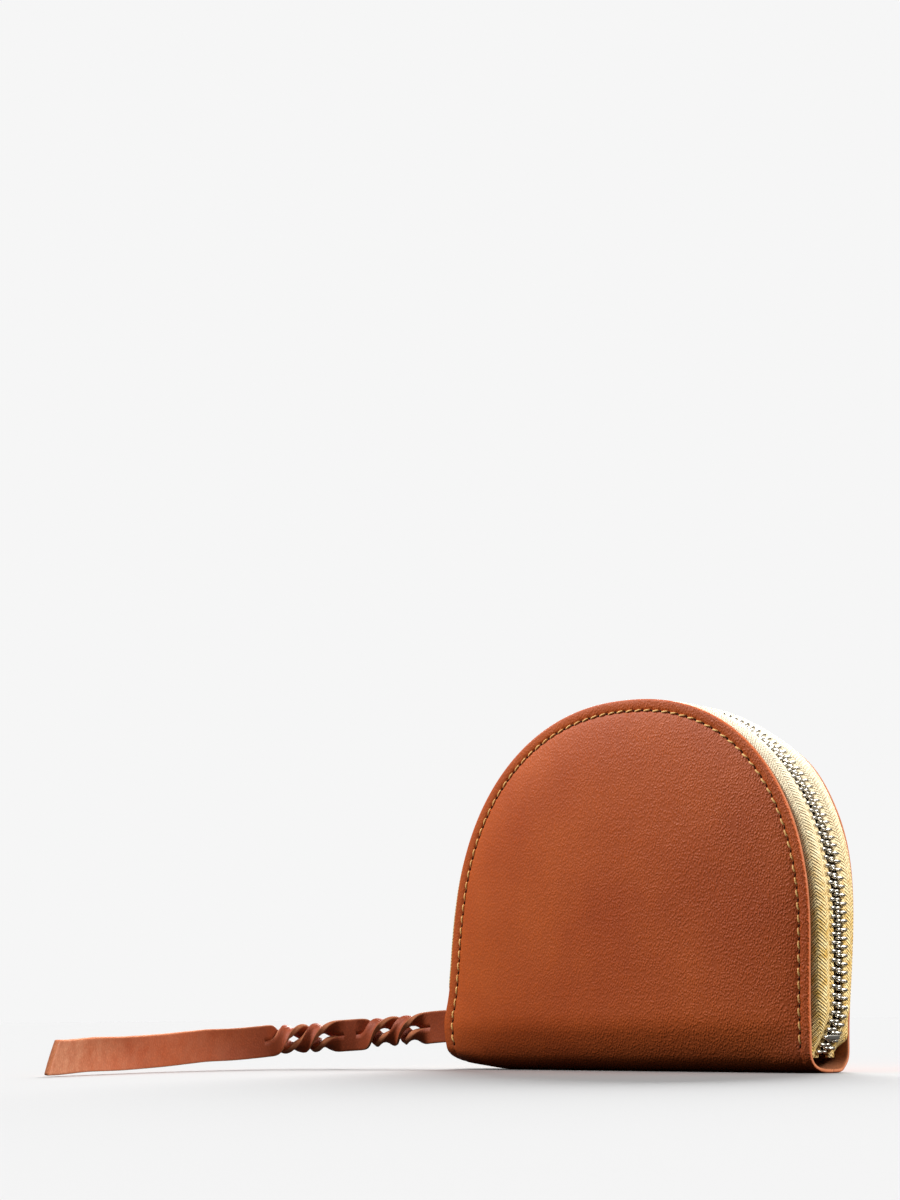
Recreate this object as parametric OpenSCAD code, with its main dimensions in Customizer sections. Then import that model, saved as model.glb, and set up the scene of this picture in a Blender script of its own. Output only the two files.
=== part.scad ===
// Half-moon zip pouch: two leather panels joined by a folded base, a metal zip over the arch,
// a fabric lining with a slip pocket, and a flat wrist strap sewn in at the lower left corner.
// X is the width, the front panel faces -Y, Z is up, and the origin is the middle of the base.

/* [Leather shell] */
// Width of the panels at the base
pouch_w = 122; // [118:1:126]
// Height of the panels
pouch_h = 95; // [93:1:97]
// Depth over both panels
pouch_t = 17.5; // [17:0.5:19]
// Height at which the straight sides start to round over
shoulder_z = 32; // [28:1:36]
// Fullness of the arch, where 2 is an ellipse and more is squarer
fullness = 2.2; // [2:0.05:2.4]
// Thickness of the leather
leather = 1.0; // [0.8:0.1:1.2]
// Outer radius of the folded base's lower corners
base_r = 4.5; // [4:0.5:5]
// Height of the folded base's walls
base_h = 7; // [6.5:0.5:7]

/* [Stitching] */
// Length of one stitch with its gap
stitch_pitch = 3.2; // [2.8:0.2:4]
// Distance of the seam from the cut edge
stitch_inset = 3; // [2.5:0.5:3.5]

/* [Zip] */
// Radius of the arc that the middle of the chain follows
chain_r = 64.3; // [64:0.1:64.6]
// Height of that arc's centre
chain_z = 30; // [29.5:0.5:30.5]
// Thickness of the chain
chain_t = 2.4; // [2.2:0.1:2.4]
// Width of the closed chain
chain_w = 6; // [5.6:0.2:6]
// Tooth spacing along one side
tooth_pitch = 2.3; // [2.2:0.1:2.6]
// Length of the slider
slider_l = 9.4; // [8.6:0.2:9.4]
// Width of the slider's wide end
slider_w = 9.2; // [9:0.2:9.2]
// Length of the pull tab below its bar
tab_l = 10.5; // [10:0.5:12.5]
// Width of the pull tab
tab_w = 5; // [4.8:0.2:5.4]

/* [Strap] */
// Width of the strap
strap_w = 8.6; // [8:0.2:8.6]
// Thickness of the strap
strap_t = 1.3; // [1.1:0.1:1.4]

/* [Hidden] */
$fn = 48;

leather_brown = [0.62, 0.30, 0.15];
thread_cream = [0.90, 0.76, 0.45];
lining_beige = [0.80, 0.72, 0.58];
board_grey = [0.55, 0.52, 0.48];
tape_gold = [0.82, 0.72, 0.46];
metal_grey = [0.72, 0.72, 0.70];

arch_steps = 64;          // segments of a panel's rounded edge
half_t = pouch_t / 2;
panel_foot = base_h + 0.6;  // the panels start just above the folded base
skin = half_t - leather;    // inner face of the leather, from the middle plane

// Sheets behind the leather: [outer face, inner face], from the middle plane
tape_layer = [skin - 0.05, skin - 0.65];
board_layer = [skin - 0.05, skin - 0.75];
lining_layer = [skin - 0.85, skin - 1.35];
pocket_layer = [skin - 1.45, skin - 1.95];
board_inset = 10;
lining_inset = 8.5;
pocket_w = 84;
pocket_top = 52;
base_end_gap = 6;           // the base's lining stops this far inside the leather

tape_t = 0.6;               // thickness of the zip tape
tape_root_r = 57;           // where the sewn edge of the tape starts
lip_y = 5.2;                // the tape lies flat beside the chain out to here
tape_bend_r = 61.5;         // where the tape leaves the leather
strap_shift = 1.2;          // the tape steps in by this much behind the strap

chain_gap = 0.6;            // half the space between the rows, which the slider's post fills
tooth_w = 1.1;              // thickness of a tooth along the chain
pitch_a = tooth_pitch / chain_r * 180 / PI;
loose_a = 3.5;              // the front half's zip runs from -loose_a to 180 + loose_a
end_a = 20.1;               // and the ends that stay shut run on to here
tape_gap_a = 0.4;
slider_a = 193.2;           // where the slider stands when the zip is shut
stop_a = 199.4;

wing_in = chain_t / 2 + 0.4;  // wings of the slider, from the middle of the chain
wing_out = wing_in + 1.0;
slot = tape_t / 2 + 0.35;     // half the slot that the tape runs in
flange_y = chain_w / 2 + 0.45;
cap_out = wing_out + 2.3;
cap_l = 6.4;
cap_w = 2.8;
tunnel_l = 2.2;
tunnel_out = wing_out + 1.7;
spring_t = 0.2;
pin_out = wing_out + 1.05;    // axis of the pull tab's bar
pin_x = (chain_r + pin_out) * cos(slider_a);
pin_z = chain_z + (chain_r + pin_out) * sin(slider_a);
bar_r = 0.55;
tab_t = 0.9;
leg_l = 4;
leg_in = cap_w / 2 + 0.35;

// The strap's route: middle of the strip, from the pouch's corner to its free end
strap_route = [
    [-61, -7.2, 11.4], [-65, -7.2, 11.4], [-70, -7.7, 11.1], [-75, -8.8, 10.6], [-80.5, -10.4, 10.2],
    [-85.5, -12.4, 9.8], [-90, -14.8, 9.3], [-94, -17.2, 9], [-98, -20, 8.7], [-101, -22.5, 8.4],
    [-104, -25.5, 8.2], [-106.6, -29.3, 8], [-108.2, -34, 7.6], [-108.9, -40, 7.1], [-108.6, -48, 6.4],
    [-107.2, -56.5, 5.9], [-105, -65, 5.4], [-102, -74.5, 4.9], [-98.5, -84.5, 4.6], [-94.5, -95, 4.4],
    [-90, -105.5, 4.4], [-85, -116, 4.4], [-79.5, -126.5, 4.4]
];

// Edge of a panel, inset from the cut edge, as points in the XZ plane
function arch(inset, foot, steps = arch_steps) =
    let (a = pouch_w / 2 - inset, b = pouch_h - inset - shoulder_z)
    concat(
        [[a, foot]],
        [for (i = [0:steps])
            let (t = 180 * i / steps)
            [
                a * sign(cos(t)) * pow(abs(cos(t)), 2 / fullness),
                shoulder_z + b * pow(abs(sin(t)), 2 / fullness)
            ]],
        [[-a, foot]]
    );

// Lengths along a line of points, from its start to each point
function run(points, i = 0, sum = 0) =
    i == len(points) - 1 ? [sum] : concat([sum], run(points, i + 1, sum + norm(points[i + 1] - points[i])));

// A sheet in the XZ plane between two depths, where y0 < y1
module sheet_xz(y0, y1) {
    translate([0, y1, 0]) rotate([90, 0, 0]) linear_extrude(y1 - y0) children();
}

// A section in the YZ plane carried along X from x0 to x1
module along_x(x0, x1) {
    translate([x0, 0, 0]) rotate([90, 0, 90]) linear_extrude(x1 - x0) children();
}

module back_side() {
    mirror([0, 1, 0]) children();
}

// A layer of the front half: an arch-shaped sheet
module front_layer(layer, inset) {
    sheet_xz(-layer[0], -layer[1]) polygon(arch(inset, panel_foot));
}

// Outline of the folded base's outside, shrunk by some amount
module fold_outline(shrink) {
    w = half_t - shrink;
    r = base_r - shrink;
    translate([-w, base_r]) square([2 * w, base_h - base_r]);
    intersection() {
        union() {
            translate([r - w, shrink]) square([2 * (w - r), base_r]);
            for (side = [-1, 1]) translate([side * (w - r), base_r]) circle(r);
        }
        translate([-w, 0]) square([2 * w, base_r]);
    }
}

module fold_sheet(outer, inner, half_length) {
    along_x(-half_length, half_length) difference() {
        fold_outline(outer);
        fold_outline(inner);
    }
}

module front_panel() {
    color(leather_brown) front_layer([half_t, skin], 0);
}

module back_panel() {
    color(leather_brown) back_side() front_layer([half_t, skin], 0);
}

// The part of the folded base between two depths
module fold_part(y0, y1) {
    color(leather_brown) intersection() {
        fold_sheet(0, leather, pouch_w / 2);
        translate([-pouch_w, y0, -1]) cube([2 * pouch_w, y1 - y0, base_h + 2]);
    }
}

module front_fold() {
    fold_part(-half_t - 1, base_r - half_t);
}

module base_strip() {
    fold_part(base_r - half_t, half_t - base_r);
}

module back_fold() {
    fold_part(half_t - base_r, half_t + 1);
}

module front_stiffener() {
    color(board_grey) front_layer(board_layer, board_inset);
}

module back_stiffener() {
    color(board_grey) back_side() front_layer(board_layer, board_inset);
}

module front_lining() {
    color(lining_beige) front_layer(lining_layer, lining_inset);
}

module back_lining() {
    color(lining_beige) back_side() front_layer(lining_layer, lining_inset);
}

module base_lining() {
    color(lining_beige) fold_sheet(leather + 0.1, leather + 0.6, pouch_w / 2 - base_end_gap);
}

module slip_pocket() {
    color(lining_beige) sheet_xz(pocket_layer[1], pocket_layer[0])
        translate([-pocket_w / 2, panel_foot + 1]) square([pocket_w, pocket_top - panel_foot - 1]);
}

// The seam near the edge: one thread per stitch, on the outside of the leather
module stitching() {
    thread = 0.4;
    gap = 0.8;
    seam = arch(stitch_inset, panel_foot + 1, 160);
    lengths = run(seam);
    at_x = [for (i = [0:len(seam) - 1]) [lengths[i], seam[i][0]]];
    at_z = [for (i = [0:len(seam) - 1]) [lengths[i], seam[i][1]]];
    count = floor(lengths[len(seam) - 1] / stitch_pitch);
    for (k = [0:count - 1]) {
        s0 = k * stitch_pitch + gap / 2;
        s1 = s0 + stitch_pitch - gap;
        from = [lookup(s0, at_x), lookup(s0, at_z)];
        step = [lookup(s1, at_x), lookup(s1, at_z)] - from;
        sheet_xz(-half_t - thread, -half_t)
            translate(from) rotate(atan2(step[1], step[0]))
            translate([0, -thread / 2]) square([norm(step), thread]);
    }
}

module front_stitching() {
    color(thread_cream) stitching();
}

module back_stitching() {
    color(thread_cream) back_side() stitching();
}

// A section (radius, depth in front of the middle plane) swept along the chain's arc
module along_chain(from_a, to_a) {
    translate([0, 0, chain_z]) rotate([90, 0, 0]) rotate([0, 0, from_a])
        rotate_extrude(angle = to_a - from_a, $fn = 180) children();
}

// Section of one tape's sewn margin, flat behind the leather
module margin_section(step_in = 0) {
    outer = tape_layer[0] - step_in;
    translate([tape_root_r, outer - tape_t]) square([tape_bend_r - tape_root_r, tape_t]);
}

// Section of the rest of the tape: out of the seam and across to the teeth
module rise_section(step_in = 0) {
    outer = tape_layer[0] - step_in;
    polygon([
        [tape_bend_r, outer - tape_t], [chain_r - tape_t / 2, lip_y], [chain_r + tape_t / 2, lip_y],
        [tape_bend_r + 0.3, outer], [tape_bend_r, outer]
    ]);
}

// Section of the tape's inner edge, flat between the teeth and the rise
module edge_section() {
    translate([chain_r - tape_t / 2, chain_w / 2]) square([tape_t, lip_y - chain_w / 2]);
}

module front_tape_margin() {
    color(tape_gold) along_chain(-loose_a, 180 + loose_a) margin_section();
}

module back_tape_margin() {
    color(tape_gold) back_side() along_chain(-end_a, 180 + end_a) margin_section();
}

module front_tape() {
    color(tape_gold) along_chain(-loose_a, 180 + loose_a) rise_section();
}

module back_tape() {
    color(tape_gold) back_side() along_chain(-end_a, 180 + end_a) rise_section();
}

module front_tape_edge() {
    color(tape_gold) along_chain(-loose_a, 180 + loose_a) edge_section();
}

module back_tape_edge() {
    color(tape_gold) back_side() along_chain(-end_a, 180 + end_a) edge_section();
}

module tape_section(step_in = 0) {
    margin_section(step_in);
    rise_section(step_in);
    edge_section();
}

module left_tape_end() {
    color(tape_gold) along_chain(180 + loose_a + tape_gap_a, 180 + end_a) tape_section(strap_shift);
}

module right_tape_end() {
    color(tape_gold) along_chain(-end_a, -loose_a - tape_gap_a) tape_section();
}

// Puts a piece built at [chain_r, 0, 0] at an angle along the chain
module on_chain(angle) {
    translate([0, 0, chain_z]) rotate([0, -angle, 0]) children();
}

// A row of front teeth, clamped on the tape's edge
module tooth_row(from_a, to_a) {
    for (a = [from_a:pitch_a:to_a]) on_chain(a)
        translate([chain_r - chain_t / 2, -chain_w / 2, -tooth_w / 2])
        cube([chain_t, chain_w / 2 - chain_gap, tooth_w]);
}

module front_teeth() {
    color(metal_grey) tooth_row(-loose_a + 0.6, 180 + loose_a - 0.5);
}

module back_teeth() {
    color(metal_grey) back_side() tooth_row(-end_a + 2.8, 180 + end_a - 2.6);
}

module left_end_teeth() {
    color(metal_grey) tooth_row(180 + loose_a + 1.2, 180 + end_a - 2.6);
}

module right_end_teeth() {
    color(metal_grey) tooth_row(-end_a + 2.8, -loose_a - 1.2);
}

module stop_block(angle, y0, y1) {
    on_chain(angle) translate([chain_r - 1.5, y0, -0.6]) cube([3, y1 - y0, 1.2]);
}

module top_stops() {
    color(metal_grey) for (side = [-1, 1]) {
        middle = side * (chain_w / 2 + chain_gap) / 2;
        half = (chain_w / 2 - chain_gap) / 2;
        stop_block(stop_a, middle - half, middle + half);
    }
}

module bottom_stop() {
    color(metal_grey) stop_block(180 - stop_a, -chain_w / 2, chain_w / 2);
}

// A plan in the slider's (Y, along the chain) plane, thickened between two radii
module slider_plate(from_r, to_r) {
    translate([chain_r, 0, 0]) along_x(from_r, to_r) children();
}

module wing_plan() {
    wide = slider_w / 2;
    narrow = wide - 0.8;
    polygon([
        [-narrow, -slider_l / 2], [narrow, -slider_l / 2], [wide, 0], [wide, slider_l / 2 - 1],
        [wide - 1, slider_l / 2], [1 - wide, slider_l / 2], [-wide, slider_l / 2 - 1], [-wide, 0]
    ]);
}

module flange_plan() {
    difference() {
        wing_plan();
        square([2 * flange_y, 2 * slider_l], center = true);
    }
}

module slider_body() {
    post_w = 0.9;
    post_l = 1.8;
    color(metal_grey) on_chain(slider_a) {
        slider_plate(wing_in, wing_out) wing_plan();
        slider_plate(-wing_out, -wing_in) wing_plan();
        slider_plate(slot, wing_in) flange_plan();
        slider_plate(-wing_in, -slot) flange_plan();
        slider_plate(-wing_in, wing_in)
            translate([-post_w / 2, slider_l / 2 - 0.3 - post_l]) square([post_w, post_l]);
    }
}

module slider_cap() {
    color(metal_grey) on_chain(slider_a) translate([chain_r, 0, 0]) difference() {
        translate([wing_out, -cap_w / 2, -cap_l / 2]) cube([cap_out - wing_out, cap_w, cap_l]);
        translate([wing_out - 1, -cap_w, -tunnel_l / 2]) cube([tunnel_out - wing_out + 1, 2 * cap_w, tunnel_l]);
        translate([wing_out - 1, -0.75, -cap_l]) cube([1 + spring_t + 0.05, 1.5, 2 * cap_l]);
    }
}

module lock_spring() {
    color(metal_grey) on_chain(slider_a)
        translate([chain_r + wing_out, -0.7, -cap_l / 2 + 0.2]) cube([spring_t, 1.4, cap_l - 0.4]);
}

// The pull tab hangs straight down from its bar
module pull_tab() {
    end_r = tab_w / 2;
    color(metal_grey) translate([pin_x, 0, pin_z]) {
        rotate([90, 0, 0]) cylinder(r = bar_r, h = tab_w, center = true);
        along_x(-tab_t / 2, tab_t / 2) difference() {
            union() {
                translate([-end_r, end_r - tab_l]) square([tab_w, tab_l - end_r]);
                translate([0, end_r - tab_l]) circle(end_r);
            }
            translate([-leg_in, -leg_l]) square([2 * leg_in, leg_l + 1]);
            translate([0, end_r - tab_l]) circle(1.1);
        }
    }
}

// The strap's sewn end, caught between the front panel and the zip tape
module strap_tab() {
    color(leather_brown) translate([-pouch_w / 2, -skin + 0.05, strap_route[0][2] - strap_w / 2])
        cube([5.5, 1.1, strap_w]);
}

// Ring of eight points around the flat strip, standing on edge across its direction
function strap_ring(point, direction) =
    let (
        side = [-direction[1], direction[0], 0] / norm([direction[0], direction[1]]),
        across = cross(direction, side) / norm(direction),
        w = strap_w / 2,
        t = strap_t / 2,
        soft = 0.4
    )
    [for (c = [
        [t, w - soft], [t - soft, w], [soft - t, w], [-t, w - soft],
        [-t, soft - w], [soft - t, -w], [t - soft, -w], [t, soft - w]
    ]) point + c[0] * side + c[1] * across];

module strap() {
    last = len(strap_route) - 1;
    sides = 8;
    rings = [for (i = [0:last])
        each strap_ring(strap_route[i], strap_route[min(i + 1, last)] - strap_route[max(i - 1, 0)])];
    walls = [for (i = [0:last - 1], j = [0:sides - 1])
        let (k = (j + 1) % sides)
        [i * sides + j, i * sides + k, (i + 1) * sides + k, (i + 1) * sides + j]];
    start = [for (j = [sides - 1:-1:0]) j];
    end = [for (j = [0:sides - 1]) last * sides + j];
    color(leather_brown) polyhedron(concat(rings), concat(walls, [start], [end]), convexity = 6);
}

front_panel();
front_fold();
base_strip();
back_fold();
back_panel();
front_stiffener();
back_stiffener();
front_lining();
base_lining();
back_lining();
slip_pocket();
front_stitching();
back_stitching();
front_tape_margin();
back_tape_margin();
front_tape();
back_tape();
front_tape_edge();
back_tape_edge();
left_tape_end();
right_tape_end();
front_teeth();
back_teeth();
left_end_teeth();
right_end_teeth();
top_stops();
bottom_stop();
slider_body();
slider_cap();
lock_spring();
pull_tab();
strap_tab();
strap();
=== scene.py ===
"""Looks of the half-moon leather zip pouch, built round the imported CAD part.
Shapes are worked out in millimetres, and turned into metres when a mesh is made."""
import math

import bmesh
import bpy
import numpy as np
from mathutils import Matrix, Vector, noise
from mathutils.geometry import delaunay_2d_cdt


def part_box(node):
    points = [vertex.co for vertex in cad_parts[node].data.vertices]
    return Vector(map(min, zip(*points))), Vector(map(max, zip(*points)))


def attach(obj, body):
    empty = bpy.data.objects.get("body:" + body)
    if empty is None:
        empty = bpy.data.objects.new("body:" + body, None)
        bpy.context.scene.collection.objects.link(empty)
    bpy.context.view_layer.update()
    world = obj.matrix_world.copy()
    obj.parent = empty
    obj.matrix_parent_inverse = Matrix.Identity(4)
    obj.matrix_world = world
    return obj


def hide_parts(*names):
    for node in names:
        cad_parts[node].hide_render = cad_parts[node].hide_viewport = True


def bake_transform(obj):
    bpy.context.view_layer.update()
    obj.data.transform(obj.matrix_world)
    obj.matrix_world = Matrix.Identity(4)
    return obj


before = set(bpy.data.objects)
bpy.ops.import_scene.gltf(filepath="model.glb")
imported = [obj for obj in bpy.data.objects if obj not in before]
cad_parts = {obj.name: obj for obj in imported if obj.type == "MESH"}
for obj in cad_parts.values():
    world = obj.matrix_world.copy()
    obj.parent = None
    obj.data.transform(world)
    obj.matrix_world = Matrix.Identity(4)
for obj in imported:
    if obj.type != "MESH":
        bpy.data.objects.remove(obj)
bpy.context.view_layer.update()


# -------- sizes, from the CAD nodes
def box_mm(node):
    """Low and high corner of a CAD node."""
    low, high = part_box(node)
    return np.array(low) * 1000, np.array(high) * 1000


panel_low, panel_high = box_mm("front_panel")
HALF_W = panel_high[0]  # half the width of a panel
TOP = panel_high[2]  # height of the arch
HALF_T = -panel_low[1]  # half the depth over both panels
LEATHER = HALF_T + panel_high[1]  # thickness of the leather
SHOULDER = 32.0  # where the straight sides start to round over
FULLNESS = 2.2  # roundness of the arch: 2 is an ellipse, and more is squarer
FOLD_H = 6.2  # height over which the base rounds under
FOLD_Q = 0.70  # squareness of that rounding
CHAIN_Z = 30.0  # centre of the arc that the slider follows
CHAIN_HALF = 1.2  # half the thickness of the chain there
CHAIN_R = box_mm("front_teeth")[1][2] - CHAIN_Z - CHAIN_HALF
SEAM = 3.0  # distance of the seam from the cut edge
STITCH = 3.2  # length of a stitch with its gap
TOOTH_PITCH = 2.07  # distance between the teeth of one side
PUFF = 2.3  # how far the padded faces stand out

# Middle of the strap, from the pouch's corner to its free end
STRAP_ROUTE = [
    (-61, -7.2, 11.4), (-65, -7.2, 11.4), (-70, -7.7, 11.1), (-75, -8.8, 10.6),
    (-80.5, -10.4, 10.2), (-85.5, -12.4, 9.8), (-90, -14.8, 9.3), (-94, -17.2, 9),
    (-98, -20, 8.7), (-101, -22.5, 8.4), (-104, -25.5, 8.2), (-106.6, -29.3, 8),
    (-108.2, -34, 7.6), (-108.9, -40, 7.1), (-108.6, -48, 6.4), (-107.2, -56.5, 5.9),
    (-105, -65, 5.4), (-102, -74.5, 4.9), (-98.5, -84.5, 4.6), (-94.5, -95, 4.4),
    (-90, -105.5, 4.4), (-85, -116, 4.4), (-79.5, -126.5, 4.4),
]
STRAP_W = 8.6
STRAP_T = 1.3
STRAP_PAST = 4.0  # the slanted end runs this far past the CAD's
STRAP_SEWN = 5.4  # length inside the seam
TWISTED = 60.0  # the strap is twisted up to this length
SLITS = ((9.1, 32.5), (35.5, 58.7))  # start and end of each slit
# Start and length of the half turns of the two halves round each other, and of each in itself
CROSSINGS = ((14.6, 9.4), (23.6, 8.8), (41.0, 9.2), (49.4, 9.2))
ROLLS = ((9.2, 12.0), (18.2, 12.0), (35.6, 12.0), (44.0, 12.0))


# -------- small helpers
def ease(x, start, end):
    t = np.clip((np.asarray(x, float) - start) / (end - start), 0, 1)
    return t * t * (3 - 2 * t)


def bell(x, middle, width):
    return np.exp(-((np.asarray(x, float) - middle) / width) ** 2)


def lengths(points):
    steps = np.linalg.norm(np.diff(points, axis=0), axis=1)
    return np.concatenate([[0], np.cumsum(steps)])


def curve_through(points, per=8):
    """Catmull-Rom line through some points."""
    p = np.asarray(points, float)
    p = np.vstack([2 * p[0] - p[1], p, 2 * p[-1] - p[-2]])
    out = []
    for i in range(1, len(p) - 2):
        a, b, c, d = p[i - 1], p[i], p[i + 1], p[i + 2]
        for t in np.arange(per) / per:
            out.append(0.5 * (2 * b + (c - a) * t + (2 * a - 5 * b + 4 * c - d) * t * t
                              + (3 * b - a - 3 * c + d) * t ** 3))
    out.append(p[-2])
    return np.array(out)


def at_length(points, where):
    """Points at the given lengths along a line of points."""
    run = lengths(points)
    return np.stack([np.interp(where, run, points[:, k]) for k in range(points.shape[1])], 1)


def unit(v):
    return v / np.maximum(np.linalg.norm(v, axis=-1, keepdims=True), 1e-12)


def add_to_scene(name, data):
    obj = bpy.data.objects.new(name, data)
    bpy.context.scene.collection.objects.link(obj)
    return obj


def shade_smooth(mesh):
    mesh.polygons.foreach_set("use_smooth", [True] * len(mesh.polygons))


def make_object(name, points, faces, materials, face_material=None):
    """A smooth mesh from points in millimetres."""
    mesh = bpy.data.meshes.new(name)
    mesh.from_pydata((np.asarray(points, float) / 1000).tolist(), [], faces)
    for m in materials:
        mesh.materials.append(m)
    if face_material is not None:
        mesh.polygons.foreach_set("material_index", np.asarray(face_material, np.int32))
    shade_smooth(mesh)
    return add_to_scene(name, mesh)


def outward(obj):
    """Turns the faces of a closed mesh outwards."""
    bm = bmesh.new()
    bm.from_mesh(obj.data)
    bmesh.ops.recalc_face_normals(bm, faces=bm.faces)
    bm.to_mesh(obj.data)
    bm.free()


def bake_modifiers(obj):
    graph = bpy.context.evaluated_depsgraph_get()
    mesh = bpy.data.meshes.new_from_object(obj.evaluated_get(graph))
    obj.modifiers.clear()
    obj.data = mesh


class Parts:
    """Many small closed shapes collected into one mesh."""

    def __init__(self):
        self.points, self.faces, self.kinds, self.count = [], [], [], 0

    def add(self, points, faces, kind=0):
        self.points.append(np.asarray(points, float))
        self.faces += [[v + self.count for v in f] for f in faces]
        self.kinds += [kind] * len(faces)
        self.count += len(points)

    def object(self, name, materials, move):
        obj = make_object(name, move(np.vstack(self.points)), self.faces, materials, self.kinds)
        outward(obj)
        return obj


def loft_faces(rings, sides):
    """Faces of a closed tube of rings."""
    faces = []
    for i in range(rings - 1):
        for j in range(sides):
            k = (j + 1) % sides
            faces.append([i * sides + j, i * sides + k, (i + 1) * sides + k, (i + 1) * sides + j])
    faces.append(list(range(sides))[::-1])
    faces.append([(rings - 1) * sides + j for j in range(sides)])
    return faces


# -------- camera
def place_camera():
    data = bpy.data.cameras.new("camera")
    data.lens = 86.7
    data.sensor_width = 36
    data.clip_start = 0.01
    camera = add_to_scene("camera", data)
    camera.location = (0.50142, -0.55688, 0.014)
    ahead = Vector((-0.70887, 0.69077, 0.14262))
    camera.rotation_mode = "QUATERNION"
    turn = ahead.to_track_quat("-Z", "Y")
    camera.rotation_quaternion = turn @ Matrix.Rotation(math.radians(-0.345), 3, "Z").to_quaternion()
    bpy.context.scene.camera = camera


place_camera()


# -------- materials
class Shader:
    """A node material, with short calls for the nodes it needs."""

    def __init__(self, name):
        self.material = bpy.data.materials.new(name)
        self.material.use_nodes = True
        self.nodes = self.material.node_tree.nodes
        self.links = self.material.node_tree.links
        self.body = self.nodes["Principled BSDF"]

    def node(self, kind, settings=(), **inputs):
        n = self.nodes.new("ShaderNode" + kind)
        for key, value in dict(settings).items():
            setattr(n, key, value)
        for key, value in inputs.items():
            self.feed(n.inputs[key.replace("_", " ")], value)
        return n

    def feed(self, socket, value):
        if isinstance(value, bpy.types.NodeSocket):
            self.links.new(value, socket)
        else:
            socket.default_value = value

    def math(self, operation, a, b=0.0, c=0.0):
        n = self.node("Math", {"operation": operation})
        for socket, value in zip(n.inputs, (a, b, c)):
            self.feed(socket, value)
        return n.outputs[0]

    def times(self, a, b, plus=None):
        """The product of two values, with a third added."""
        return self.math("MULTIPLY" if plus is None else "MULTIPLY_ADD", a, b, plus or 0.0)

    def wave(self, value, pitch):
        return self.math("SINE", self.times(value, 2 * math.pi / pitch))

    def grey(self, value):
        return self.node("CombineXYZ", X=value, Y=value, Z=value).outputs[0]

    def mix(self, amount, a, b, blend="MIX"):
        n = self.node("Mix", {"data_type": "RGBA", "blend_type": blend})
        for key, value in ((0, amount), (6, a), (7, b)):
            self.feed(n.inputs[key], value)
        return n.outputs[2]

    def spread(self, value, low, high, out_low=0.0, out_high=1.0):
        n = self.node("MapRange")
        for key, v in enumerate((value, low, high, out_low, out_high)):
            self.feed(n.inputs[key], v)
        return n.outputs[0]

    def noise(self, where, scale, detail=2.0, rough=0.5):
        n = self.node("TexNoise", Vector=where, Scale=scale, Detail=detail)
        n.inputs["Roughness"].default_value = rough
        return n.outputs[0]

    def bump(self, height, strength, distance):
        return self.node("Bump", Height=height, Strength=strength, Distance=distance).outputs[0]

    def split(self, vector):
        return self.node("SeparateXYZ", Vector=vector).outputs

    def set(self, **inputs):
        for key, value in inputs.items():
            self.feed(self.body.inputs[key.replace("_", " ")], value)

    def finish(self, tone, rough, height, strength, distance, **more):
        """The material, with its bump made from a height."""
        self.set(Base_Color=tone, Roughness=rough, Normal=self.bump(height, strength, distance), **more)
        return self.material

    def place(self):
        return self.node("TexCoord").outputs["Object"]

    def uv(self, name):
        return self.split(self.node("UVMap", {"uv_map": name}).outputs[0])[:2]


def colour(red, green, blue):
    """An sRGB colour, from 0 to 255, as the linear colour that the shaders take."""
    return tuple((v / 255 / 12.92 if v < 11 else ((v / 255 + 0.055) / 1.055) ** 2.4)
                 for v in (red, green, blue)) + (1.0,)


def leather_material(name, dark, light, grain=1.0, shine=0.5, wear_and_painted_sheen=None, base=False):
    """Fine pebbled leather: rounded cells with soft valleys, a slow change of tone, and a grain
    that is stronger on the right. Painted shade darkens the valleys, and with base=True also the bottom,
    where the pouch turns under. It can be paler on the strap's tail, partly wear and partly a painted
    sheen."""
    s = Shader(name)
    where = s.place()
    drift = s.noise(where, 300, 2)
    shift = s.grey(drift)
    bent = s.node("VectorMath", {"operation": "MULTIPLY_ADD"})
    for socket, value in zip(bent.inputs, (shift, (0.0012, 0.0008, 0.0012), where)):
        s.feed(socket, value)
    turned = s.node("Mapping", Vector=bent.outputs[0])
    turned.inputs["Rotation"].default_value = (0, math.radians(38), 0)
    turned.inputs["Scale"].default_value = (1.0, 1.0, 0.72)
    cells = s.node("TexVoronoi", {"feature": "SMOOTH_F1"}, Vector=turned.outputs[0],
                   Scale=2000.0, Smoothness=0.45)
    pebble = s.spread(cells.outputs[0], 0.05, 0.62, 1.0, 0.0)
    fine = s.noise(where, 3400, 3, 0.6)
    folds = s.noise(turned.outputs[0], 520, 3, 0.6)
    height = s.times(fine, 0.12, s.times(folds, 0.6))
    height = s.times(pebble, 0.75, height)
    slow = s.noise(where, 34, 3, 0.55)
    tone = s.mix(s.spread(slow, 0.3, 0.7), dark, light)
    # A paler colour where the mesh asks for it: partly wear, partly a painted sheen where the strap's tail
    # catches the light.
    if wear_and_painted_sheen:
        amount = s.node("Attribute", {"attribute_name": "wear_and_painted_sheen"}).outputs["Fac"]
        blotch = s.noise(where, 230, 4, 0.65)
        amount = s.times(amount, s.spread(blotch, 0.3, 0.68, 0.35, 1.0))
        tone = s.mix(amount, tone, wear_and_painted_sheen)
    parts = s.split(where)
    # Painted shade: with base=True the colour darkens over the bottom 12 mm, down to 0.6 of itself at 3 mm
    # and below.
    painted_base_shade = s.spread(parts[2], 0.003, 0.012, 0.6, 1.0) if base else 1.0
    # Painted shade in the grain: the low parts of the height are darker.
    shade = s.times(s.spread(height, 0.35, 1.15, 0.86, 1.05), painted_base_shade)
    tone = s.mix(1.0, tone, s.grey(shade), "MULTIPLY")
    rough = s.spread(height, 0.4, 1.2, shine + 0.1, shine - 0.06)
    strength = s.spread(parts[0], -0.05, 0.05, 0.35 * grain, 0.9 * grain)
    return s.finish(tone, rough, height, strength, 0.0002, Specular_IOR_Level=0.32)


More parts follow.
